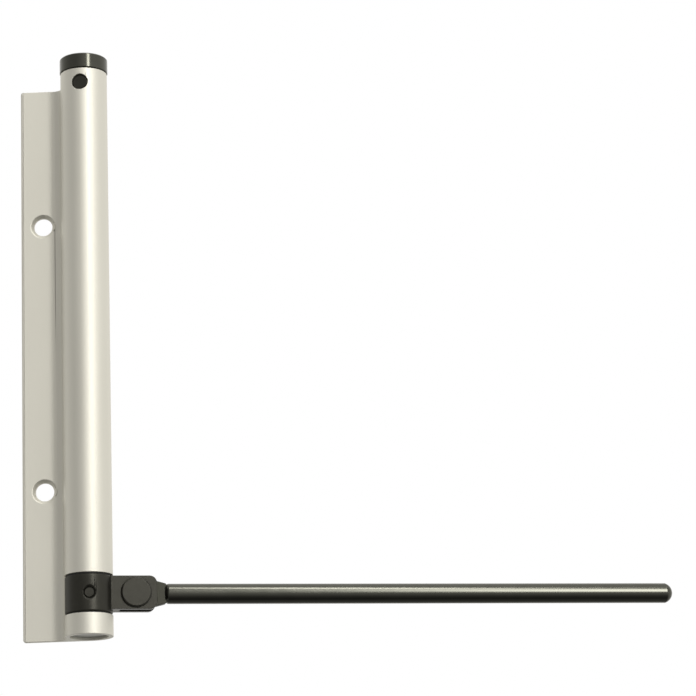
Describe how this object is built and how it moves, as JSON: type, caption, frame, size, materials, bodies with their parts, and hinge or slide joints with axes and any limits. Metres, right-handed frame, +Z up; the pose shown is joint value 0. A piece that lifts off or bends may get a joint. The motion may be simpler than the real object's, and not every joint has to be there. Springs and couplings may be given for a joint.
{
  "type": "door closer",
  "caption": "Tubular spring door closer: an aluminium tube with a screw flange, a wound-spring collar near its foot, a folding steel push rod and a winding cap on top.",
  "frame": {"origin": "middle of the two screw holes, on the flat back face that lies on the door frame", "axes": "+Y into the surface that the closer is screwed to, +Z up along the tube towards the winding cap, +X from the flange to the rod"},
  "size_m": [0.2042, 0.0482, 0.1884],
  "materials": {
    "satin_aluminium": "bead-blasted and anodised, satin champagne silver",
    "blackened_steel": "black oxide with a slight olive cast, semi-gloss",
    "gunmetal_plate": "black nickel plate, polished to a soft shine",
    "plain_steel": "turned, zinc grey",
    "spring_steel": "oiled, oil-tempered wire",
    "white_acetal": "machined acetal",
    "black_nylon": "moulded nylon"
  },
  "bodies": {
    "body": {"housing": "satin_aluminium", "bottom_plug": "plain_steel", "lower_bush": "white_acetal", "upper_bush": "white_acetal", "lower_thrust_washer": "black_nylon", "upper_thrust_washer": "black_nylon", "lower_spring_washer": "plain_steel", "upper_spring_washer": "plain_steel", "spring_liner": "black_nylon", "spring_guide": "plain_steel", "torsion_spring": "spring_steel"},
    "arm_hub": {"arm_collar": "blackened_steel", "spindle": "plain_steel", "collar_pin": "blackened_steel", "pivot_rivet": "blackened_steel", "rivet_washer": "plain_steel"},
    "rod": {"arm_rod": "gunmetal_plate"},
    "adjuster": {"adjuster_core": "gunmetal_plate", "adjuster_cap": "gunmetal_plate"},
    "lock": {"lock_pin": "blackened_steel"}
  },
  "joints": [
    {"name": "arm_swing", "type": "hinge", "parent": "body", "child": "arm_hub", "pos_m": [0.0142, -0.0075, -0.0775], "axis": [0, 0, -1], "range_deg": [0, 175], "stiffness_Nm_per_rad": 0.083, "deforming": ["torsion_spring"]},
    {"name": "rod_fold", "type": "hinge", "parent": "arm_hub", "child": "rod", "pos_m": [0.0282, -0.0046, -0.0775], "axis": [0.2028, -0.9792, 0], "range_deg": [-90, 90]},
    {"name": "tension_turn", "type": "hinge", "parent": "body", "child": "adjuster", "pos_m": [0.0142, -0.0075, 0.0951], "axis": [0, 0, 1], "range_deg": [0, 540], "deforming": ["torsion_spring"]},
    {"name": "lock_slide", "type": "slide", "parent": "body", "child": "lock", "axis": [-0.0698, -0.9976, 0], "range_m": [0, 0.001]}
  ]
}
